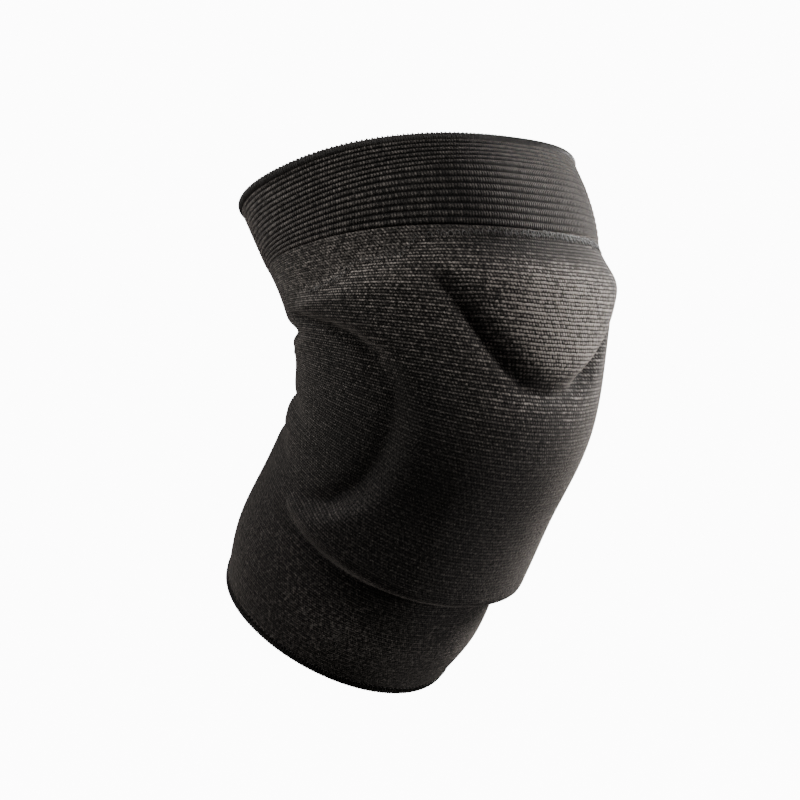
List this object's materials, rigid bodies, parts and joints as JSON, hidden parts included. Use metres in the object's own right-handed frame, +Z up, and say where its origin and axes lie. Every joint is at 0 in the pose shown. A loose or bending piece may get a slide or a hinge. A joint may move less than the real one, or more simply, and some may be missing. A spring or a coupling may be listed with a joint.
{
  "type": "knee pad",
  "caption": "Black knitted knee sleeve with a moulded foam pad under the knit, a raised cup over the kneecap, notched sides and a ribbed elastic cuff; shown bent as worn.",
  "frame": {"origin": "centre of the hollow at the knee, where the wearer's knee sits", "axes": "-Y out through the kneecap, +Z up towards the thigh, +X towards the wearer's left; the sleeve is alike on both sides of X = 0"},
  "size_m": [0.1458, 0.1773, 0.2299],
  "materials": {
    "knit": "matt tubular knit with fine cross rows",
    "rib_knit": "matt elastic rib knit",
    "overlock_thread": "matt overlocked thread",
    "foam": "matt closed-cell foam"
  },
  "bodies": {
    "root": {"sleeve": "knit", "upper_cuff": "rib_knit", "top_hem": "overlock_thread", "bottom_hem": "overlock_thread", "foam_pad": "foam"}
  },
  "joints": []
}
